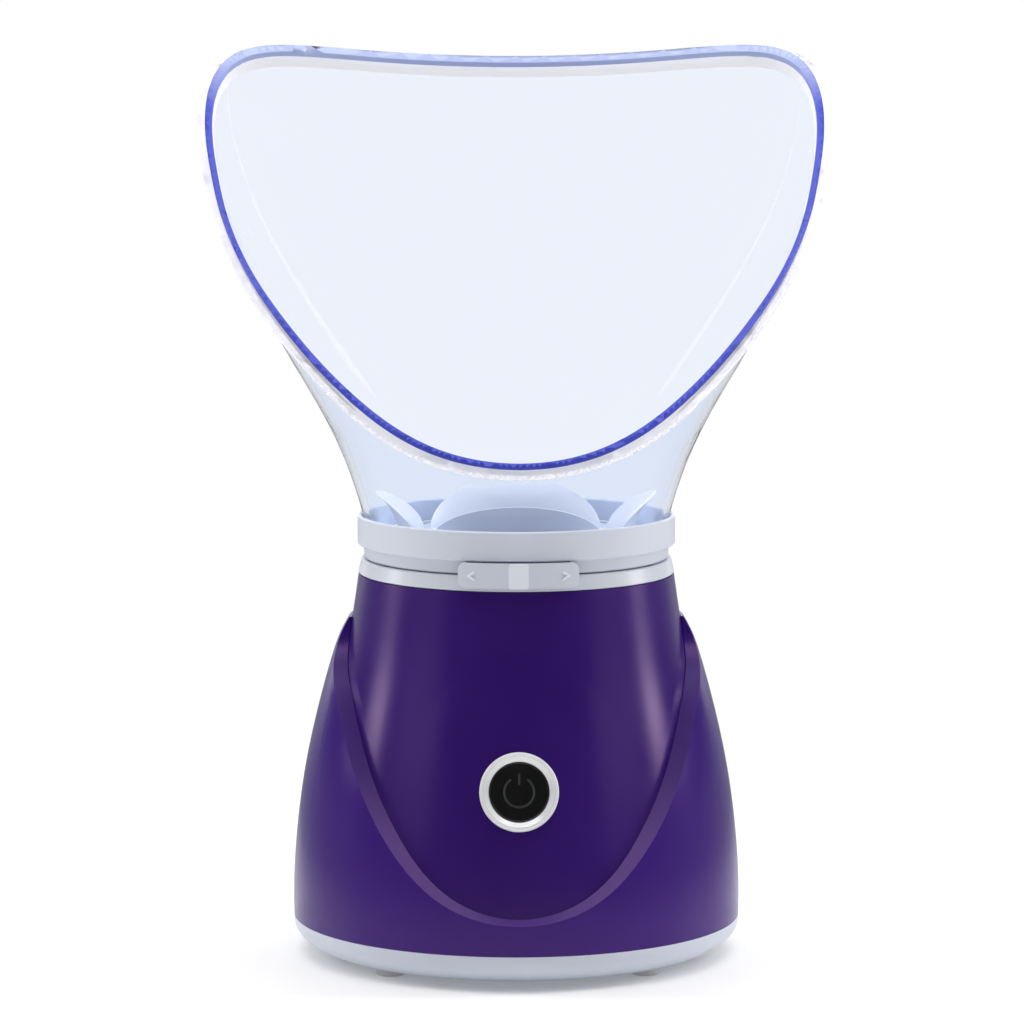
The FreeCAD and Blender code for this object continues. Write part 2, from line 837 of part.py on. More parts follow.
def button_holder():
    inner_r = bezel_r + holder_gap
    cup = rod(inner_r + holder_wall, -holder_depth, 0.0)
    cup = cup.cut(rod(inner_r, -holder_depth + holder_floor, 0.0))
    slot = block(*wire_slot_size, -holder_depth, -holder_depth + holder_floor, 0, wire_slot_y)
    cup = cup.cut(slot)
    return on_button(cup).common(revolved(housing_profile, housing_wall + fit))


def switch_board():
    low = -holder_depth + holder_floor
    return on_button(rod(bezel_r, low, low + switch_board_height))


def tact_switch():
    low = -holder_depth + holder_floor + switch_board_height
    stem_end = -bezel_depth - running - cap_flange_height - cap_stem_length
    plunger_top = stem_end - button_travel - plunger_gap
    body = block(switch_size, switch_size, low, plunger_top - plunger_height)
    plunger = rod(plunger_r, plunger_top - plunger_height, plunger_top)
    return on_button(body.fuse(plunger))


# ---- neck ring and adapter -------------------------------------------------------------------

def neck_ring():
    bottom_r = housing_top_r
    outline = [(neck_lip_r, flange_top), (opening_r - fit, flange_top), (opening_r - fit, neck_bottom),
               (bottom_r - 0.3, neck_bottom), (bottom_r, neck_bottom + 0.3),
               (neck_top_r, neck_top - 0.3), (neck_top_r - 0.3, neck_top),
               (neck_bore_r, neck_top), (neck_bore_r, neck_lip_top), (neck_lip_r, neck_lip_top)]
    body = turned(outline)
    head_room = neck_top - screw_head_height
    for x, y in neck_screw_spots():
        body = body.cut(rod(neck_head_r + 0.2, head_room, neck_top, x, y))
        body = body.cut(rod(neck_screw_r + 0.1, flange_top, head_room, x, y))
    return body


def neck_screws():
    head_bottom = neck_top - screw_head_height
    length = neck_screw_length
    screws = [screw(x, y, head_bottom - length, length, neck_screw_r, neck_head_r,
                    neck_head_height, True) for x, y in neck_screw_spots()]
    return Part.makeCompound(screws)


def neck_seal():
    return ring(neck_lip_r + 0.4, neck_bore_r - 0.1, neck_lip_top, neck_lip_top + seal_height)


def mask_collar():
    """Adapter body: spigot and floor below, stepped neck, then the wide collar for the mask."""
    edge = 0.4
    socket_r = collar_r - collar_wall
    outline = [(spigot_in_r, spigot_bottom), (spigot_r, spigot_bottom), (spigot_r, adapter_bottom),
               (adapter_neck_r - edge, adapter_bottom), (adapter_neck_r, adapter_bottom + edge),
               (adapter_neck_r, collar_bottom), (collar_r - edge, collar_bottom),
               (collar_r, collar_bottom + edge), (collar_r, collar_top - edge),
               (collar_r - edge, collar_top), (socket_r + edge, collar_top),
               (socket_r, collar_top - edge), (socket_r, mask_ledge), (deck_r + 0.2, mask_ledge),
               (deck_r + 0.2, deck_ledge), (chamber_r, deck_ledge),
               (chamber_r, adapter_bottom + adapter_floor), (spigot_in_r, adapter_bottom + adapter_floor)]
    body = turned(outline)
    half = lever_swing + degrees(asin((lever_stem_half + 0.5) / chamber_r))
    low = adjuster_bottom
    high = low + lever_stem_height + 0.6
    return body.cut(sector(chamber_r - 1.0, collar_r, low, high, -90.0, half))


def sector(inner, outer, low, high, middle, half):
    """Part of a ring that reaches half an angle each way from its middle."""
    reach = 2.5 * outer
    corners = [V(0, 0, low)]
    for angle in (-half, 0.0, half):
        a = radians(middle + angle)
        corners.append(V(reach * cos(a), reach * sin(a), low))
    wedge = Part.Face(Part.makePolygon(corners + corners[:1])).extrude(V(0, 0, high - low))
    return ring(inner, outer, low, high).common(wedge)


def steam_cap():
    deck = ring(outlet_r, deck_r, deck_ledge, deck_top)
    rim_r = outlet_r + outlet_rim_wall
    deck = deck.fuse(ring(outlet_r, rim_r, deck_top, deck_top + outlet_rim_height))
    for rib in deck_ribs:
        low_r = rib - rib_width / 2
        deck = deck.fuse(ring(low_r, low_r + rib_width, deck_top, deck_top + rib_height))
    for spot in range(window_count):
        middle = 360.0 / window_count * spot
        window = sector(window_in_r, window_out_r, deck_ledge, deck_top, middle, window_angle / 2)
        deck = deck.cut(window)
    for petal in petals():
        deck = deck.fuse(petal)
    return deck


def petals():
    """Four petals that flare outwards, cut from one bell-shaped wall."""
    low = deck_top
    middle = low + petal_height / 2
    tip = low + petal_height
    wall = petal_wall
    outside = Part.Arc(V(petal_base_r, 0, low), V(petal_mid_r, 0, middle), V(petal_tip_r, 0, tip))
    inside = Part.Arc(V(petal_tip_r - wall, 0, tip), V(petal_mid_r - wall, 0, middle),
                      V(petal_base_r - wall, 0, low))
    ends = [Part.makeLine(V(petal_tip_r, 0, tip), V(petal_tip_r - wall, 0, tip)),
            Part.makeLine(V(petal_base_r - wall, 0, low), V(petal_base_r, 0, low))]
    outline = Part.Wire([outside.toShape(), ends[0], inside.toShape(), ends[1]])
    bell = Part.Face(outline).revolve(V(0, 0, 0), AXIS, 360)
    found = []
    for turn in range(4):
        half = front_petal_half if turn % 2 == 0 else side_petal_half
        found.append(bell.common(petal_arch(half, low, turn * 90.0)))
    return found


def petal_arch(half, low, turn):
    """Half-ellipse prism, square to the petal's middle direction."""
    rise = petal_height - 0.6
    centre = V(0, -petal_cut_from, low)
    if half >= rise:
        ellipse = Part.Ellipse(centre + V(half, 0, 0), centre + V(0, 0, rise), centre)
    else:
        ellipse = Part.Ellipse(centre + V(0, 0, rise), centre + V(half, 0, 0), centre)
    face = Part.Face(Part.Wire(ellipse.toShape()))
    prism = face.extrude(V(0, petal_cut_from - petal_cut_to, 0))
    above = Part.makeBox(4 * half, petal_cut_to, 2 * petal_height, V(-2 * half, -petal_cut_to, low))
    prism = prism.common(above)
    prism.rotate(V(0, 0, 0), AXIS, turn)
    return prism


# ---- steam adjuster --------------------------------------------------------------------------

def lever_plate_r():
    return neck_top_r + lever_plate_gap


def lever_stem():
    """Arm from the adjuster ring out through the neck's slot to the back of the lever."""
    low = adjuster_bottom + running
    high = low + lever_stem_height
    outer = lever_plate_r() - lever_stem_gap
    inner = chamber_r - lever_stem_depth
    arm = block(2 * lever_stem_half, outer - inner, low, high, 0, -(outer + inner) / 2)
    return arm.common(rod(outer, low, high))


def adjuster_ring():
    shelf = adjuster_bottom + adjuster_shelf
    outer = chamber_r - running
    outline = [(adjuster_in_r, adjuster_bottom), (outer, adjuster_bottom), (outer, adjuster_top),
               (shutter_r + 0.1, adjuster_top), (shutter_r + 0.1, shelf), (adjuster_in_r, shelf)]
    return turned(outline).fuse(lever_stem())


def steam_shutter():
    """Disc under the steam cap; its windows meet the cap's at the end of the lever's swing."""
    low = adjuster_bottom + adjuster_shelf
    high = low + shutter_height
    disc = ring(outlet_r, shutter_r, low, high)
    for spot in range(window_count):
        middle = 360.0 / window_count * spot - lever_swing
        disc = disc.cut(sector(window_in_r, window_out_r, low, high, middle, window_angle / 2))
    return disc


def adjuster_lever():
    inner = lever_plate_r()
    outer = inner + lever_thickness
    low = lever_top - lever_height
    plate = ring(inner, outer, low, lever_top).common(tablet(lever_width, lever_corner_r))
    grip = ring(inner, outer + grip_proud, low, lever_top).common(tablet(grip_width, grip_corner_r))
    body = plate.fuse(grip)
    for side in (-1, 1):
        body = body.fuse(mark(side, outer))
    return body


def tablet(width, corner_r):
    """Prism towards the front, as tall as the lever, with rounded corners."""
    corner = V(-width / 2, -lever_cut_reach, lever_top - lever_height)
    body = Part.makeBox(width, lever_cut_depth, lever_height, corner)
    along = [e for e in body.Edges if abs(e.tangentAt(e.FirstParameter).y) > 0.99]
    return body.makeFillet(corner_r, along)


def mark(side, outer):
    """Raised arrow head that points along the lever, away from its middle."""
    middle_z = lever_top - lever_height / 2
    tip = V(side * (mark_reach + mark_size / 2), 0, middle_z)
    strokes = []
    for rise in (-1, 1):
        end = V(side * (mark_reach - mark_size / 4), 0, middle_z + rise * mark_size / 2)
        along = (end - tip).normalize()
        across = V(-along.z, 0, along.x) * (mark_width / 2)
        over = along * (mark_width / 2)
        corners = [tip + across - over, end + across, end - across, tip - across - over]
        face = Part.Face(Part.makePolygon(corners + corners[:1]))
        strokes.append(face.extrude(V(0, -lever_cut_reach, 0)))
    arrow = strokes[0].fuse(strokes[1])
    skin = ring(outer - 0.3, outer + mark_proud, lever_top - lever_height, lever_top)
    return arrow.common(skin)


# ---- face mask -------------------------------------------------------------------------------

def mask_point(level, angle, inset, back_inset):
    """Point of one level's outline at an angle from the front, moved in by an inset."""
    height, half_width, front, back, square, hollow = level
    half_width, front, back = half_width - inset, front - inset, back - back_inset
    side, ahead = abs(sin(radians(angle))), cos(radians(angle))
    if ahead >= 0:
        r = 1 / sqrt((side / half_width) ** 2 + (ahead / front) ** 2)
    else:
        r = ((side / half_width) ** square + (-ahead / back) ** square) ** (-1 / square)
    x, y = r * sin(radians(angle)), -r * ahead
    if y > 0:
        y += hollow * (x / half_width) ** 2 * (y / back) ** 2
    return V(x, y, mask_ledge + height)


def mask_rows():
    """Every level's outline, from a round foot inside the collar upwards."""
    foot = (mask_r, mask_r, mask_r, 2.0, 0.0)
    mouth = (socket_depth, mask_r, mask_r + mask_foot_lean, mask_r, 2.0, 0.0)
    return [(-mask_foot_depth, *foot), (mask_foot_height, *foot), mouth] + mask_levels


def mask_outline(level, inset, back_inset):
    angles = mask_angles + [180] + [360 - a for a in reversed(mask_angles[1:])]
    curve = Part.BSplineCurve()
    points = [mask_point(level, a, inset, back_inset) for a in angles]
    curve.interpolate(Points=points, PeriodicFlag=True, Parameters=[float(a) for a in angles] + [360.0])
    return Part.Wire(curve.toShape())


def mask_body(inset, back_inset):
    """Solid inside the mask's outline, open neither below nor above."""
    outlines = [mask_outline(level, inset, back_inset) for level in mask_rows()]
    return Part.makeLoft(outlines, True, False)


def rim_slab(low, high):
    """Thick plate along the rim's plane; heights are measured out of the mask's opening."""
    size = 600.0
    slab = Part.makeBox(size, size, high - low, V(-size / 2, -size / 2, low))
    slab.rotate(V(0, 0, 0), V(1, 0, 0), rim_tilt)
    slab.translate(V(0, rim_chin_y, rim_chin_z))
    return slab


def face_mask():
    beyond = 400.0
    below = rod(2 * mask_r, mask_ledge - 2 * mask_foot_depth, mask_bottom)
    body = mask_body(0.0, 0.0).cut(rim_slab(rim_lip, beyond)).cut(below)
    flange = mask_body(-flange_reach, -flange_back_reach)
    flange = flange.common(rim_slab(-flange_height, 0.0))
    return body.fuse(flange).cut(mask_body(mask_wall, mask_wall))


# ---- all pieces ------------------------------------------------------------------------------

def build():
    pieces = {
        "base_cover": base_cover(),
        "rubber_feet": rubber_feet(),
        "base_screws": base_screws(),
        "housing": housing(),
        "tank_seat": tank_seat(),
        "outer_shell": outer_shell(),
        "cord_gland": cord_gland(),
        "water_tank": water_tank(),
        "tank_gasket": tank_gasket(),
        "heater_plate": heater_plate(),
        "heater_element": heater_element(),
        "heater_clamp": heater_clamp(),
        "clamp_screws": clamp_screws(),
        "thermostat": thermostat(),
        "thermal_fuse": thermal_fuse(),
        "circuit_board": circuit_board(),
        "board_screws": board_screws(),
        "transformer": on_board(transformer_size, transformer_at),
        "relay": on_board(relay_size, relay_at),
        "capacitor": rod(capacitor_r, board_top, board_top + capacitor_height, *capacitor_at),
        "terminal_block": terminal_block(),
        "heater_leads": heater_leads(),
        "switch_leads": switch_leads(),
        "button_bezel": button_bezel(),
        "button_cap": button_cap(),
        "button_holder": button_holder(),
        "switch_board": switch_board(),
        "tact_switch": tact_switch(),
        "neck_ring": neck_ring(),
        "neck_screws": neck_screws(),
        "neck_seal": neck_seal(),
        "mask_collar": mask_collar(),
        "steam_cap": steam_cap(),
        "adjuster_ring": adjuster_ring(),
        "steam_shutter": steam_shutter(),
        "adjuster_lever": adjuster_lever(),
        "face_mask": face_mask(),
    }
    return pieces


os.makedirs("parts", exist_ok=True)
for name, shape in build().items():
    save(name, shape)
    box = shape.BoundBox
    print(f"{name:16s} solids {len(shape.Solids):2d} valid {shape.isValid()} volume {shape.Volume:10.1f}"
          f" z {box.ZMin:7.2f} {box.ZMax:7.2f} x {box.XMin:7.2f} {box.XMax:7.2f}"
          f" y {box.YMin:7.2f} {box.YMax:7.2f}")
facing = button_place.Rotation.multVec(AXIS)
print("button axis", [round(c, 4) for c in facing], "seat", [round(c, 2) for c in button_place.Base])
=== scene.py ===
from math import cos, pi, radians, sin

import bpy
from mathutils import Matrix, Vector


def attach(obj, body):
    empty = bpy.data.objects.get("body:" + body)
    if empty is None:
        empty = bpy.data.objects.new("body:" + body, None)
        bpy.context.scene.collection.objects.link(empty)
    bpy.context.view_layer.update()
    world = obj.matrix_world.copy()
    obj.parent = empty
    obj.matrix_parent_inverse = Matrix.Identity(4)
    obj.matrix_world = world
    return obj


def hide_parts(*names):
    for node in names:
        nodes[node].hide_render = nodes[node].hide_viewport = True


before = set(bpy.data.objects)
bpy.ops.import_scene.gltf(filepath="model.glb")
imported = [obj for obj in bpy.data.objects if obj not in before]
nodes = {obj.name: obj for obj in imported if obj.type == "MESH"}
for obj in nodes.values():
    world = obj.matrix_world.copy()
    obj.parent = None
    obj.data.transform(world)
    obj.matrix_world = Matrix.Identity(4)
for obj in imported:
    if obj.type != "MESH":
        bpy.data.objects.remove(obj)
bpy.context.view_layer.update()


# camera and light

cameraValues = {
    "distance": 1.4,     # from the tub's axis
    "height": 0.3005,    # above the floor
    "pitchDown": 6.77,
    "turn": -0.8,        # a little to the steamer's left
    "lens": 162.9,
    "shiftX": -0.0042,
    "farthest": 60.0,
}

lightValues = [
    # name, turn round the steamer (0 is the front), distance, height, width, tallness,
    # brightness, colour
    ("leftBox", -100.0, 1.5, 1.0, 0.36, 1.5, 7.5, (1.0, 0.97, 0.98)),
    ("rightBox", 97.0, 1.5, 1.0, 0.36, 1.5, 9.0, (1.0, 0.97, 0.98)),
    ("leftFill", -66.0, 2.0, 1.1, 0.9, 1.6, 0.6, (1.0, 0.98, 0.99)),
    ("rightFill", 66.0, 2.0, 1.1, 0.9, 1.6, 0.6, (1.0, 0.98, 0.99)),
    ("backBox", 180.0, 2.2, 1.0, 3.2, 2.0, 0.95, (1.0, 1.0, 1.0)),
]

topLight = {"behind": 0.2, "height": 2.4, "size": 3.2, "brightness": 2.5, "colour": (1, 1, 1)}
roomValues = {"seen": 1.0, "fill": 0.06, "colour": (1, 1, 1)}
floorValues = {
    "radius": 14.0,
    "corners": 96,
    "shade": (0.96, 0.96, 0.96),
    "roughness": 0.6,
    "specular": 0.25,
    "glowFrom": 0.07,       # the floor is lit near the steamer and glows farther out
    "glowFull": 0.38,
    "glowLeast": 0.16,
    "mirrored": 0.35,       # how bright the glow looks in reflections
}


def makeCamera():
    turn = radians(cameraValues["turn"])
    away = cameraValues["distance"]
    place = (away * sin(turn), -away * cos(turn), cameraValues["height"])
    lookDown = radians(90.0 - cameraValues["pitchDown"])
    bpy.ops.object.camera_add(location=place, rotation=(lookDown, 0.0, turn))
    camera = bpy.context.object
    camera.name = "camera"
    camera.data.lens = cameraValues["lens"]
    camera.data.shift_x = cameraValues["shiftX"]
    camera.data.clip_end = cameraValues["farthest"]
    bpy.context.scene.camera = camera


def addPanelLight(name, place, aim, width, tallness, brightness, colour):
    bpy.ops.object.light_add(type="AREA", location=place)
    lamp = bpy.context.object
    lamp.name = name
    lamp.rotation_euler = (Vector(aim) - Vector(place)).to_track_quat("-Z", "Y").to_euler()
    lamp.data.shape = "RECTANGLE"
    lamp.data.size = width
    lamp.data.size_y = tallness
    lamp.data.energy = brightness * pi * width * tallness
    lamp.data.color = colour
    lamp.visible_camera = False
    lamp.visible_transmission = False


def makeLights():
    for name, turn, away, height, width, tallness, brightness, colour in lightValues:
        angle = radians(turn)
        place = (away * sin(angle), -away * cos(angle), height)
        aim = (0.0, 0.0, height)
        addPanelLight(name, place, aim, width, tallness, brightness, colour)
    behind, high, size = topLight["behind"], topLight["height"], topLight["size"]
    addPanelLight("topBox", (0.0, behind, high), (0.0, behind, 0.0), size, size,
                  topLight["brightness"], topLight["colour"])


def makeRoom():
    # a pale room: bright where it is looked at, dimmer as a source of light
    world = bpy.data.worlds.new("room")
    bpy.context.scene.world = world
    world.use_nodes = True
    tree = world.node_tree
    glow = tree.nodes["Background"]
    path = tree.nodes.new("ShaderNodeLightPath").outputs
    seen = combine(tree, "MAXIMUM", path["Is Camera Ray"], path["Is Transmission Ray"])
    level = rangeOf(tree, seen, roomValues["fill"], roomValues["seen"])
    tree.links.new(level, glow.inputs["Strength"])
    glow.inputs["Color"].default_value = (*roomValues["colour"], 1)


def makeFloor():
    deselectAll()
    bpy.ops.mesh.primitive_circle_add(vertices=floorValues["corners"], radius=floorValues["radius"],
                                      fill_type="NGON")
    floor = bpy.context.object
    floor.name = "floor"
    material = bpy.data.materials.new("paleFloor")
    material.use_nodes = True
    tree = material.node_tree
    shader = tree.nodes["Principled BSDF"]
    shader.inputs["Base Color"].default_value = (*floorValues["shade"], 1)
    shader.inputs["Roughness"].default_value = floorValues["roughness"]
    shader.inputs["Specular IOR Level"].default_value = floorValues["specular"]
    glow = tree.nodes.new("ShaderNodeEmission")
    spot = tree.nodes.new("ShaderNodeTexCoord")
    fade = tree.nodes.new("ShaderNodeMapRange")
    fade.interpolation_type = "SMOOTHSTEP"
    fade.inputs["From Min"].default_value = floorValues["glowFrom"]
    fade.inputs["From Max"].default_value = floorValues["glowFull"]
    fade.inputs["To Min"].default_value = floorValues["glowLeast"]
    # refraction counts as glossy too, so it is taken off again
    path = tree.nodes.new("ShaderNodeLightPath").outputs
    bounced = combine(tree, "SUBTRACT", path["Is Glossy Ray"], path["Is Transmission Ray"])
    glowLevel = rangeOf(tree, bounced, 1.0, floorValues["mirrored"])
    tree.links.new(glowLevel, glow.inputs["Strength"])
    mix = tree.nodes.new("ShaderNodeMixShader")
    tree.links.new(lengthOf(tree, spot.outputs["Object"]), fade.inputs["Value"])
    tree.links.new(fade.outputs["Result"], mix.inputs["Fac"])
    tree.links.new(shader.outputs["BSDF"], mix.inputs[1])
    tree.links.new(glow.outputs["Emission"], mix.inputs[2])
    tree.links.new(mix.outputs["Shader"], tree.nodes["Material Output"].inputs["Surface"])
    floor.data.materials.append(material)


def deselectAll():
    if bpy.context.object and bpy.context.object.mode != "OBJECT":
        bpy.ops.object.mode_set(mode="OBJECT")
    bpy.ops.object.select_all(action="DESELECT")


# finishes

def startFinish(name, roughness, **constants):
    material = bpy.data.materials.new(name)
    material.use_nodes = True
    tree = material.node_tree
    shader = tree.nodes["Principled BSDF"]
    shader.inputs["Roughness"].default_value = roughness
    for socket, value in constants.items():
        shader.inputs[socket.replace("_", " ")].default_value = value
    return material, tree, shader


def objectPlace(tree, centre=(0, 0, 0), turn=(0, 0, 0)):
    spot = tree.nodes.new("ShaderNodeTexCoord")
    mapping = tree.nodes.new("ShaderNodeMapping")
    mapping.vector_type = "TEXTURE"
    mapping.inputs["Location"].default_value = centre
    mapping.inputs["Rotation"].default_value = turn
    tree.links.new(spot.outputs["Object"], mapping.inputs["Vector"])
    return mapping.outputs["Vector"]


def noise(tree, vector, featureSize, detail=2.0):
    cloud = tree.nodes.new("ShaderNodeTexNoise")
    cloud.inputs["Scale"].default_value = 1.0 / featureSize
    cloud.inputs["Detail"].default_value = detail
    tree.links.new(vector, cloud.inputs["Vector"])
    return cloud.outputs["Fac"]


def rangeOf(tree, value, low, high, fromLow=0.0, fromHigh=1.0):
    reach = tree.nodes.new("ShaderNodeMapRange")
    reach.inputs["From Min"].default_value = fromLow
    reach.inputs["From Max"].default_value = fromHigh
    reach.inputs["To Min"].default_value = low
    reach.inputs["To Max"].default_value = high
    tree.links.new(value, reach.inputs["Value"])
    return reach.outputs["Result"]


def combine(tree, operation, first, second):
    joined = tree.nodes.new("ShaderNodeMath")
    joined.operation = operation
    tree.links.new(first, joined.inputs[0])
    tree.links.new(second, joined.inputs[1])
    return joined.outputs[0]


def heightOf(tree, place):
    apart = tree.nodes.new("ShaderNodeSeparateXYZ")
    tree.links.new(place, apart.inputs["Vector"])
    return apart.outputs["Z"]


def lengthOf(tree, vector):
    length = tree.nodes.new("ShaderNodeVectorMath")
    length.operation = "LENGTH"
    tree.links.new(vector, length.inputs[0])
    return length.outputs["Value"]


def fromAxis(tree, place):
    # how far a point is from the Z axis of its place
    flat = tree.nodes.new("ShaderNodeVectorMath")
    flat.operation = "MULTIPLY"
    flat.inputs[1].default_value = (1, 1, 0)
    tree.links.new(place, flat.inputs[0])
    return lengthOf(tree, flat.outputs["Vector"])


def overlay(tree, shader, share, colour):
    # lays a colour over the shader's base colour where the share is one
    plain = shader.inputs["Base Color"].links[0].from_socket
    tree.links.new(mixColours(tree, share, plain, colour), shader.inputs["Base Color"])


def mixColours(tree, share, first, second):
    mix = tree.nodes.new("ShaderNodeMix")
    mix.data_type = "RGBA"
    tree.links.new(share, mix.inputs["Factor"])
    for socket, colour in ((mix.inputs[6], first), (mix.inputs[7], second)):
        if isinstance(colour, bpy.types.NodeSocket):
            tree.links.new(colour, socket)
        else:
            socket.default_value = (*colour, 1)
    return mix.outputs[2]


def addBump(tree, shader, height, depth):
    bump = tree.nodes.new("ShaderNodeBump")
    bump.inputs["Distance"].default_value = depth
    tree.links.new(height, bump.inputs["Height"])
    tree.links.new(bump.outputs["Normal"], shader.inputs["Normal"])


cloudEdges = (0.3, 0.7)   # a noise keeps mostly between these


def mouldedPlastic(name, values):
    # moulded plastic: cloudy colour, uneven gloss and a fine skin
    constants = values.get("constants", {})
    material, tree, shader = startFinish(name, values["gloss"][0], **constants)
    place = objectPlace(tree)
    cloud = rangeOf(tree, noise(tree, place, values["cloudSize"], 3.0), 0.0, 1.0, *cloudEdges)
    colour = mixColours(tree, cloud, values["dark"], values["light"])
    tree.links.new(colour, shader.inputs["Base Color"])
    wear = noise(tree, place, values["wearSize"], 4.0)
    tree.links.new(rangeOf(tree, wear, *values["gloss"], *cloudEdges), shader.inputs["Roughness"])
    addBump(tree, shader, noise(tree, place, values["skinSize"]), values["skinDepth"])
    return material


purpleValues = {
    "dark": (0.027, 0.0056, 0.128),
    "light": (0.032, 0.0072, 0.147),
    "gloss": (0.22, 0.26),
    "cloudSize": 0.05,
    "wearSize": 0.012,
    "skinSize": 0.0009,
    "skinDepth": 0.000003,
    "constants": {"IOR": 1.5, "Specular_Tint": (1.0, 0.62, 1.0, 1.0)},
}

shellValues = dict(purpleValues, dark=(0.029, 0.0053, 0.152), light=(0.034, 0.007, 0.174),
                   constants={"IOR": 1.44, "Specular_Tint": (1.0, 0.62, 1.0, 1.0)})

whiteValues = {
    "dark": (0.62, 0.655, 0.725),
    "light": (0.64, 0.675, 0.745),
    "gloss": (0.31, 0.34),
    "cloudSize": 0.06,
    "wearSize": 0.02,
    "skinSize": 0.0007,
    "skinDepth": 0.000002,
    "constants": {"IOR": 1.5, "Coat_Weight": 0.1, "Coat_Roughness": 0.1},
}

collarValues = dict(whiteValues, dark=(0.655, 0.70, 0.79), light=(0.675, 0.72, 0.81))
baseValues = dict(whiteValues, dark=(0.615, 0.665, 0.755), light=(0.635, 0.685, 0.775))
petalValues = dict(whiteValues, dark=(0.62, 0.655, 0.74), light=(0.645, 0.68, 0.765))

footValues = {
    "dark": (0.60, 0.61, 0.62),
    "light": (0.68, 0.69, 0.70),
    "gloss": (0.5, 0.62),
    "cloudSize": 0.004,
    "wearSize": 0.002,
    "skinSize": 0.0006,
    "skinDepth": 0.00002,
}

siliconeValues = dict(footValues, dark=(0.5, 0.51, 0.53), light=(0.58, 0.59, 0.61))

blackValues = {
    "dark": (0.016, 0.016, 0.017),
    "light": (0.024, 0.024, 0.026),
    "gloss": (0.42, 0.52),
    "cloudSize": 0.01,
    "wearSize": 0.003,
    "skinSize": 0.0004,
    "skinDepth": 0.00001,
}

brownValues = dict(blackValues, dark=(0.11, 0.055, 0.025), light=(0.17, 0.09, 0.04))
wireValues = dict(blackValues, dark=(0.36, 0.02, 0.015), light=(0.43, 0.03, 0.02), cloudSize=0.004)

# the paler colour for the raised grip and marks is a painted highlight
leverValues = dict(whiteValues, dark=(0.66, 0.705, 0.79), light=(0.68, 0.725, 0.81),
                   raisedHighlight=(0.85, 0.89, 0.97), highlightFrom=0.05005, highlightFull=0.0502)

capValues = {
    "sign": (0.075, 0.078, 0.082),       # painted highlight: grey painted on the floor of the sunk power sign for the faint light its edges catch
    "centre": (0.0, -0.05982, 0.0586),   # where the button's axis meets the panel
    "lean": radians(90.0 - 11.77),
    "ballCentre": 0.06089,               # the dish is part of a ball of ballSize
    "ballSize": 0.06109,
    "signDepth": 0.00012,
    "signBlur": 0.00004,
    "signReach": 0.0056,
    "reachBlur": 0.0001,
    "dark": (0.0045, 0.0048, 0.005),
    "light": (0.007, 0.0073, 0.0076),
    "gloss": (0.07, 0.12),
    "cloudSize": 0.006,
    "wearSize": 0.002,
    "skinSize": 0.003,
    "skinDepth": 0.000003,
    "constants": {"IOR": 1.5, "Coat_Weight": 0.5, "Coat_Roughness": 0.04},
}


def leverPlastic(name, values):
    # the raised grip and marks are painted paler than the plate: a painted highlight for the light
    # they catch
    material = mouldedPlastic(name, values)
    tree = material.node_tree
    shader = tree.nodes["Principled BSDF"]
    reach = fromAxis(tree, objectPlace(tree))
    raisedHighlight = rangeOf(tree, reach, 0.0, 1.0, values["highlightFrom"], values["highlightFull"])
    overlay(tree, shader, raisedHighlight, values["raisedHighlight"])
    return material


def capPlastic(name, values):
    # gloss black, with a greyer floor painted in the sunk power sign: a painted highlight for the
    # light its edges catch
    material = mouldedPlastic(name, values)
    tree = material.node_tree
    shader = tree.nodes["Principled BSDF"]
    place = objectPlace(tree, values["centre"], (values["lean"], 0, 0))
    fromBall = tree.nodes.new("ShaderNodeVectorMath")
    fromBall.operation = "SUBTRACT"
    fromBall.inputs[1].default_value = (0, 0, values["ballCentre"])
    tree.links.new(place, fromBall.inputs[0])
    away = lengthOf(tree, fromBall.outputs["Vector"])
    depth = values["ballSize"] + values["signDepth"]
    sunk = rangeOf(tree, away, 0.0, 1.0, depth, depth + values["signBlur"])
    reach = values["signReach"]
    inside = rangeOf(tree, fromAxis(tree, place), 1.0, 0.0, reach, reach + values["reachBlur"])
    overlay(tree, shader, combine(tree, "MULTIPLY", sunk, inside), values["sign"])
    return material


def spunMetal(name, values):
    # metal turned or drawn on one axis, with fine lines round it
    material, tree, shader = startFinish(name, values["gloss"][0], Metallic=values["metal"],
                                         Anisotropic=values["pull"])
    place = objectPlace(tree, values["centre"], values["turn"])
    rings = tree.nodes.new("ShaderNodeCombineXYZ")
    tree.links.new(fromAxis(tree, place), rings.inputs["X"])
    tree.links.new(heightOf(tree, place), rings.inputs["Z"])
    lines = noise(tree, rings.outputs["Vector"], values["lineSize"], 1.0)
    cloud = noise(tree, place, values["cloudSize"], 3.0)
    colour = mixColours(tree, cloud, values["dark"], values["light"])
    tree.links.new(colour, shader.inputs["Base Color"])
    tree.links.new(rangeOf(tree, lines, *values["gloss"], *cloudEdges), shader.inputs["Roughness"])
    addBump(tree, shader, lines, values["lineDepth"])
    return material


bezelValues = {
    "dark": (0.90, 0.91, 0.92),
    "light": (0.96, 0.97, 0.98),
    "metal": 0.2,
    "gloss": (0.24, 0.32),
    "pull": 0.3,
    "centre": (0.0, -0.0595, 0.0586),
    "turn": (radians(90.0 - 11.7), 0, 0),
    "cloudSize": 0.004,
    "lineSize": 0.00025,
    "lineDepth": 0.000006,
}

potValues = dict(bezelValues, dark=(0.58, 0.59, 0.61), light=(0.68, 0.69, 0.71), metal=1.0,
                 gloss=(0.26, 0.38), centre=(0, 0, 0), turn=(0, 0, 0), cloudSize=0.02, lineSize=0.0006)
steelValues = dict(potValues, dark=(0.42, 0.42, 0.44), light=(0.56, 0.56, 0.58), cloudSize=0.004)

boardValues = {
    "dark": (0.012, 0.09, 0.035),
    "light": (0.02, 0.125, 0.05),
    "gloss": (0.3, 0.4),
    "cloudSize": 0.003,
    "wearSize": 0.002,
    "skinSize": 0.0008,
    "skinDepth": 0.00002,
}

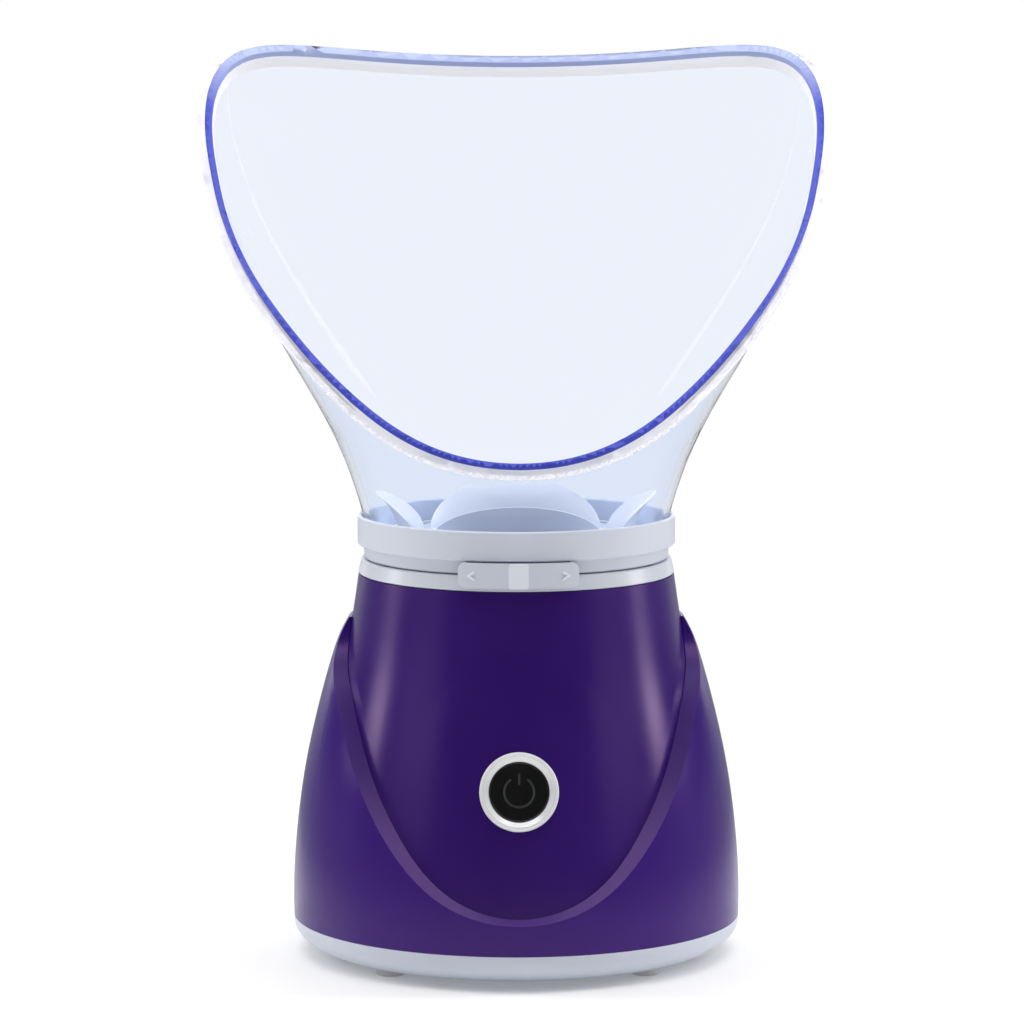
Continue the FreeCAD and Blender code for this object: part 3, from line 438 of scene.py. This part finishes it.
maskValues = {
    "clear": (0.85, 0.895, 0.975),
    "clearDip": 0.985,                   # the clouds are this much darker
    "cloudSize": 0.06,
    "lip": (0.055, 0.075, 0.56),
    "lipLight": (0.085, 0.11, 0.66),
    "lipCloud": 0.02,
    "lipGloss": 0.3,
    "lipIOR": 1.3,
    "gloss": 0.0,
    "IOR": 1.15,
    "rimPoint": (0.0, -0.062, 0.1551),   # the flange's flat face passes through here
    "rimTilt": 45.0,
    "flangeHeight": 0.0022,
    "flange": (0.955, 0.955, 0.995),
    "flangeLight": (0.975, 0.975, 1.0),
    "flangeCloud": 0.03,
    "flangeGloss": 0.35,
    "flangeClear": 0.35,                 # share of light that passes
    "lipTop": (0.46, 0.53, 0.83),
    "lipTopHeights": (0.256, 0.271),     # the lip turns paler between these heights
    "smoothAngle": 32.0,
    "mergeGap": 0.000001,
    "slack": 0.00001,
}


def clearPlastic(name, values):
    # clear plastic with faint clouds in its tint
    material, tree, shader = startFinish(name, values["gloss"], IOR=values["IOR"],
                                         Transmission_Weight=1.0)
    cloud = noise(tree, objectPlace(tree), values["cloudSize"])
    tinted = tuple(values["clearDip"] * part for part in values["clear"])
    tree.links.new(mixColours(tree, cloud, values["clear"], tinted), shader.inputs["Base Color"])
    return material


def lipPlastic(name, values):
    # the end of the clear wall, where its tint gathers; paler along the top
    material, tree, shader = startFinish(name, values["lipGloss"], IOR=values["lipIOR"])
    place = objectPlace(tree)
    cloud = noise(tree, place, values["lipCloud"], 3.0)
    low = mixColours(tree, cloud, values["lip"], values["lipLight"])
    top = rangeOf(tree, heightOf(tree, place), 0.0, 1.0, *values["lipTopHeights"])
    tree.links.new(mixColours(tree, top, low, values["lipTop"]), shader.inputs["Base Color"])
    return material


def flangePlastic(name, values):
    # the moulded flange scatters light a little
    material, tree, shader = startFinish(name, values["flangeGloss"], IOR=values["IOR"],
                                         Transmission_Weight=values["flangeClear"])
    cloud = noise(tree, objectPlace(tree), values["flangeCloud"])
    colour = mixColours(tree, cloud, values["flange"], values["flangeLight"])
    tree.links.new(colour, shader.inputs["Base Color"])
    return material


def makeMask():
    # the mask's shape again as one merged shell, cut along the flange's two faces so that the
    # flange and the lip above it get their own finishes
    deselectAll()
    mask = bpy.data.objects.new("clearFaceMask", nodes["face_mask"].data.copy())
    bpy.context.scene.collection.objects.link(mask)
    bpy.context.view_layer.objects.active = mask
    mask.select_set(True)
    mask.data.materials.clear()
    mask.data.materials.append(clearPlastic("clearMask", maskValues))
    mask.data.materials.append(lipPlastic("maskLip", maskValues))
    mask.data.materials.append(flangePlastic("maskFlange", maskValues))
    tilt = radians(maskValues["rimTilt"])
    rimPoint = Vector(maskValues["rimPoint"])
    outward = Vector((0.0, -sin(tilt), cos(tilt)))
    flangeHeight = maskValues["flangeHeight"]
    slack = maskValues["slack"]
    bpy.ops.object.mode_set(mode="EDIT")
    bpy.ops.mesh.select_all(action="SELECT")
    bpy.ops.mesh.remove_doubles(threshold=maskValues["mergeGap"])
    bpy.ops.mesh.bisect(plane_co=rimPoint, plane_no=outward)
    bpy.ops.mesh.select_all(action="SELECT")
    bpy.ops.mesh.bisect(plane_co=rimPoint - outward * flangeHeight, plane_no=outward)
    bpy.ops.object.mode_set(mode="OBJECT")
    for face in mask.data.polygons:
        rise = (face.center - rimPoint).dot(outward)
        if rise > slack:
            face.material_index = 1
        elif rise > -flangeHeight - slack:
            face.material_index = 2
    bpy.ops.object.shade_smooth_by_angle(angle=radians(maskValues["smoothAngle"]))
    mask.visible_shadow = False   # clear: the lights reach the petals inside it
    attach(mask, "mask")
    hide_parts("face_mask")
    print("mask done:", len(mask.data.polygons), "faces")


def dress(material, *names):
    for name in names:
        piece = nodes[name]
        piece.data.materials.clear()
        piece.data.materials.append(material)


def dressNodes():
    dress(mouldedPlastic("purplePlastic", purpleValues), "housing", "tank_seat")
    dress(mouldedPlastic("purpleShellPlastic", shellValues), "outer_shell")
    dress(mouldedPlastic("whitePlastic", whiteValues), "neck_ring")
    dress(mouldedPlastic("basePlastic", baseValues), "base_cover")
    dress(mouldedPlastic("collarPlastic", collarValues), "mask_collar")
    dress(leverPlastic("leverPlastic", leverValues), "adjuster_lever")
    dress(mouldedPlastic("steamCapPlastic", petalValues), "steam_cap", "adjuster_ring",
          "steam_shutter")
    dress(mouldedPlastic("softFoot", footValues), "rubber_feet")
    dress(mouldedPlastic("silicone", siliconeValues), "tank_gasket", "neck_seal")
    dress(mouldedPlastic("blackPlastic", blackValues), "cord_gland", "button_holder", "tact_switch",
          "relay", "capacitor", "terminal_block")
    dress(capPlastic("glossBlack", capValues), "button_cap")
    dress(mouldedPlastic("brownMoulding", brownValues), "transformer", "thermal_fuse")
    dress(mouldedPlastic("redSleeve", wireValues), "heater_leads", "switch_leads")
    dress(mouldedPlastic("greenBoard", boardValues), "circuit_board", "switch_board")
    dress(spunMetal("bezelMetal", bezelValues), "button_bezel")
    dress(spunMetal("spunAluminium", potValues), "water_tank", "heater_plate")
    dress(spunMetal("zincSteel", steelValues), "base_screws", "board_screws", "clamp_screws",
          "neck_screws", "heater_clamp", "heater_element", "thermostat")
    print("finishes done")


makeCamera()
makeRoom()
makeLights()
makeFloor()
print("camera, room and lights done")
dressNodes()
makeMask()

bpy.context.scene.view_settings.view_transform = "Standard"
